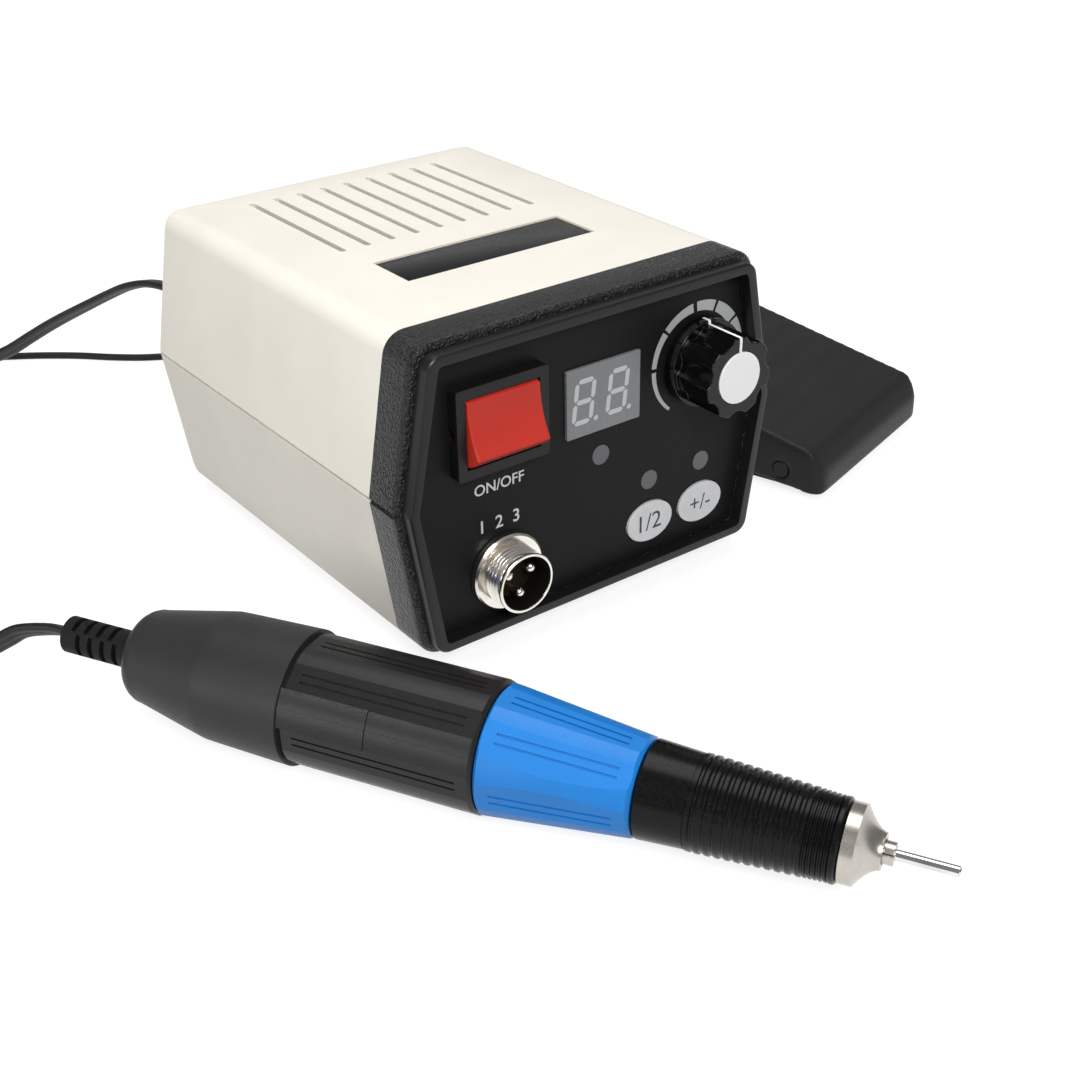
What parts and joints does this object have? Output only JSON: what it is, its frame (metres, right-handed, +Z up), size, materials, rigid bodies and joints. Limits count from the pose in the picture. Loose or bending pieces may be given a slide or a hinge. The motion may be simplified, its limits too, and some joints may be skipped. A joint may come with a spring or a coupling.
{
  "type": "dental micromotor",
  "caption": "Control box with a rocker switch, display, keys and speed knob, with a pencil-shaped motor handpiece, a foot pedal and their cords.",
  "frame": {"origin": "on the table, under the middle of the control box", "axes": "+X to the right of the control box seen from the front, -Y out of its front panel, +Z up"},
  "size_m": [0.379, 0.4567, 0.086],
  "materials": {
    "shell_plastic": "fine spark texture, ivory",
    "bezel_plastic": "black, textured",
    "overlay_film": "satin black film",
    "rocker_plastic": "satin red",
    "window_plastic": "grey tinted",
    "module_plastic": "pale grey",
    "lens_plastic": "grey, unlit",
    "key_plastic": "silver grey",
    "knob_plastic": "gloss black",
    "cap_plastic": "white",
    "dark_plastic": "dark moulding",
    "nickel": "nickel plate",
    "contact_metal": "plated",
    "steel": "turned",
    "chrome": "polished",
    "board": "circuit board",
    "copper": "enamelled wire",
    "rubber": "moulded",
    "housing_plastic": "satin black",
    "collar_metal": "blue anodised, fine grain",
    "grip_plastic": "black, ribbed",
    "pedal_plastic": "black",
    "cord_rubber": "black sheath",
    "plug_plastic": "moulded black"
  },
  "bodies": {
    "base": {"upper_shell": "shell_plastic", "lower_shell": "shell_plastic", "front_bezel": "bezel_plastic", "rear_panel": "bezel_plastic", "switch_housing": "bezel_plastic", "fuse_holder": "bezel_plastic", "power_gland": "bezel_plastic", "panel_overlay": "overlay_film", "display_window": "window_plastic", "display_module": "module_plastic", "indicator_lenses": "lens_plastic", "key_switches": "dark_plastic", "socket_insulator": "dark_plastic", "pedal_jack": "dark_plastic", "pedal_switch": "dark_plastic", "potentiometer": "dark_plastic", "motor_socket": "nickel", "socket_nut": "nickel", "motor_plug": "nickel", "socket_pins": "contact_metal", "case_screws": "steel", "hinge_pin": "steel", "return_spring": "steel", "nose_cone": "steel", "motor_bearings": "steel", "spindle_bearings": "steel", "transformer_core": "steel", "control_board": "board", "transformer_winding": "copper", "stator": "copper", "rubber_feet": "rubber", "pedal_feet": "rubber", "cord_boot": "rubber", "rear_housing": "housing_plastic", "motor_sleeve": "housing_plastic", "front_grip": "grip_plastic", "pedal_base": "pedal_plastic", "power_cord": "cord_rubber", "power_coil": "cord_rubber", "pedal_cord": "cord_rubber", "pedal_coil": "cord_rubber", "hand_cord": "cord_rubber", "hand_coil": "cord_rubber", "power_plug": "plug_plastic", "pedal_plug": "plug_plastic"},
    "power_rocker": {"power_rocker": "rocker_plastic"},
    "mode_key": {"mode_key": "key_plastic"},
    "direction_key": {"direction_key": "key_plastic"},
    "speed_knob": {"speed_knob": "knob_plastic", "knob_cap": "cap_plastic", "control_shaft": "steel"},
    "spindle": {"rotor": "steel", "drive_coupling": "rubber", "spindle": "steel", "collet": "chrome", "tool_shank": "chrome"},
    "chuck_collar": {"chuck_collar": "collar_metal"},
    "cam_ring": {"cam_ring": "steel"},
    "treadle": {"treadle": "pedal_plastic"}
  },
  "joints": [
    {"name": "rocker_tilt", "type": "hinge", "parent": "base", "child": "power_rocker", "pos_m": [-0.0293, -0.0628, 0.0622], "axis": [1, 0, 0], "range_deg": [0, 32]},
    {"name": "mode_press", "type": "slide", "parent": "base", "child": "mode_key", "axis": [0, 1, 0], "range_m": [0, 0.0004], "stiffness_N_per_m": 500, "springref_m": -0.001},
    {"name": "direction_press", "type": "slide", "parent": "base", "child": "direction_key", "axis": [0, 1, 0], "range_m": [0, 0.0004], "stiffness_N_per_m": 500, "springref_m": -0.001},
    {"name": "speed_turn", "type": "hinge", "parent": "base", "child": "speed_knob", "pos_m": [0.0347, -0.0618, 0.0601], "axis": [0, -1, 0], "range_deg": [-150, 150]},
    {"name": "spindle_spin", "type": "hinge", "parent": "base", "child": "spindle", "pos_m": [-0.0906, -0.0739, 0.01575], "axis": [0.4984, -0.8667, -0.021], "continuous": true},
    {"name": "collar_turn", "type": "hinge", "parent": "base", "child": "chuck_collar", "pos_m": [-0.0607, -0.1259, 0.01448], "axis": [0.4984, -0.8667, -0.021], "range_deg": [0, 60]},
    {"name": "cam_slide", "type": "slide", "parent": "base", "child": "cam_ring", "axis": [0.4984, -0.8667, -0.021], "range_m": [0, 0.0012]},
    {"name": "treadle_press", "type": "hinge", "parent": "base", "child": "treadle", "pos_m": [0.11494, -0.03692, 0.007], "axis": [0.9521, 0.3057, 0], "range_deg": [-5, 0], "stiffness_Nm_per_rad": 4, "springref_deg": 2.86, "deforming": ["return_spring"]}
  ],
  "couplings": [
    {"joint": "cam_slide", "follows": "collar_turn", "m_per_rad": 0.0011458}
  ]
}
